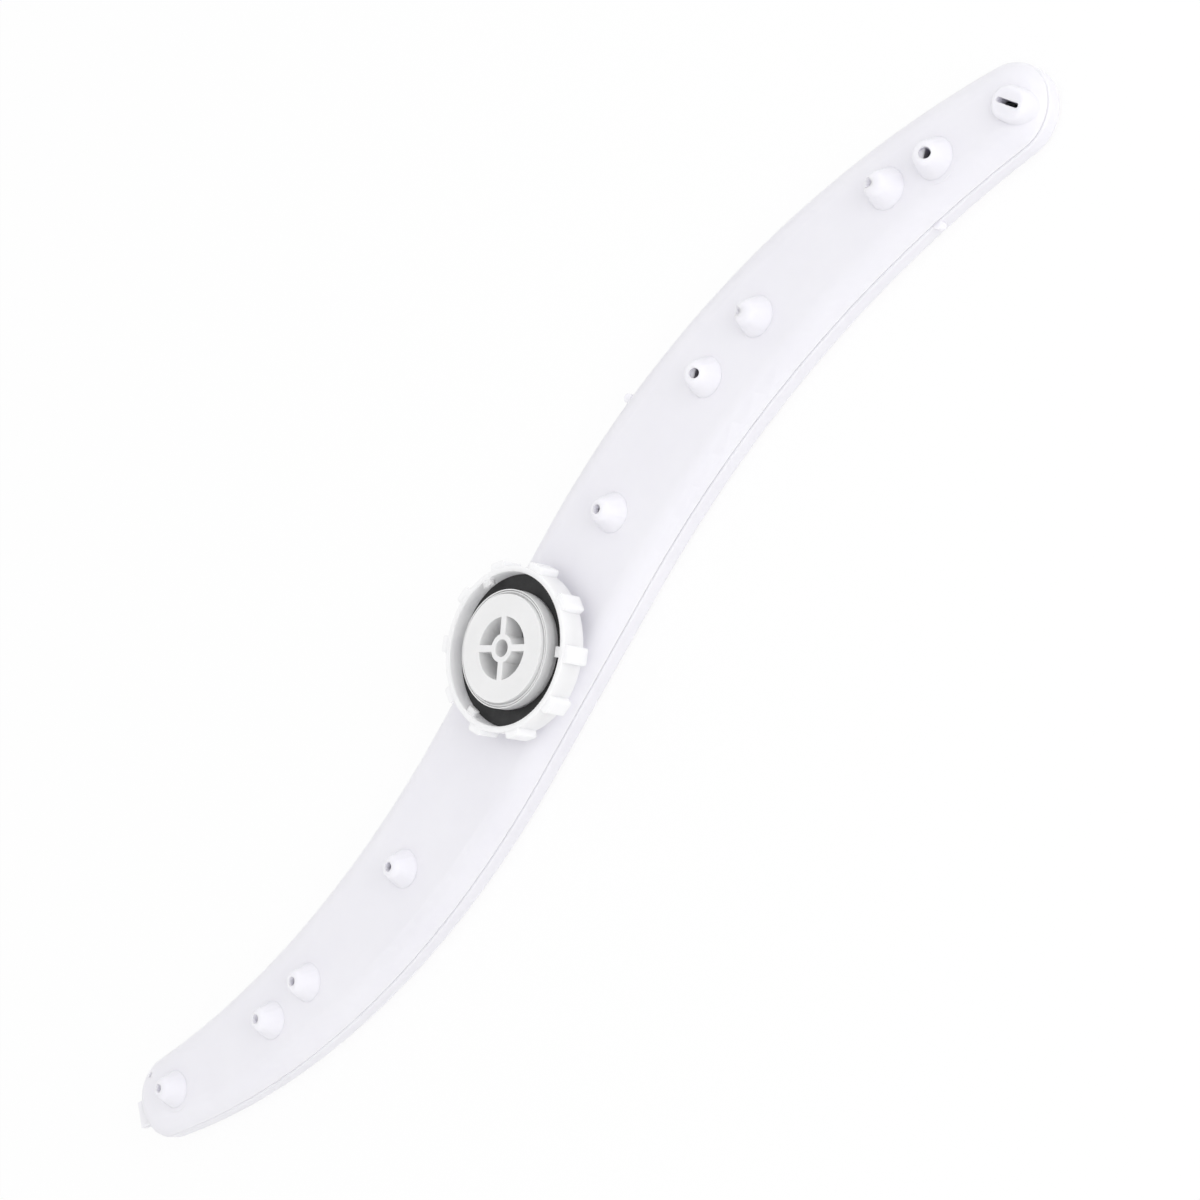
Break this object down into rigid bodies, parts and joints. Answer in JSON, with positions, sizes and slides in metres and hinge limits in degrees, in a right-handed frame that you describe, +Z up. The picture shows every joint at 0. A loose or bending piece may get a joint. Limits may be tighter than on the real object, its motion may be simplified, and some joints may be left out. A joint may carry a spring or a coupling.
{
  "type": "dishwasher spray arm",
  "caption": "Hollow S-shaped plastic spray arm with domed jets along its top, a grooved inlet spigot at its hub, and a castellated coupling nut with a rubber seal that turns freely on the hub.",
  "frame": {"origin": "on the hub axis, at the flat underside of the arm", "axes": "+Z up along the hub axis towards the feed pipe, +X along the arm's length towards the tip with the fan slot"},
  "size_m": [0.4509, 0.084, 0.0244],
  "materials": {
    "shell_plastic": "satin white moulded polypropylene",
    "hub_plastic": "smooth white moulded acetal",
    "seal_rubber": "matt black rubber"
  },
  "bodies": {
    "arm": {"upper_shell": "shell_plastic", "lower_shell": "shell_plastic", "inlet_bush": "hub_plastic"},
    "nut": {"coupling_nut": "hub_plastic", "seal_washer": "seal_rubber"}
  },
  "joints": [
    {"name": "nut_spin", "type": "hinge", "parent": "arm", "child": "nut", "pos_m": [0, 0, 0.0167], "axis": [0, 0, 1], "continuous": true}
  ]
}
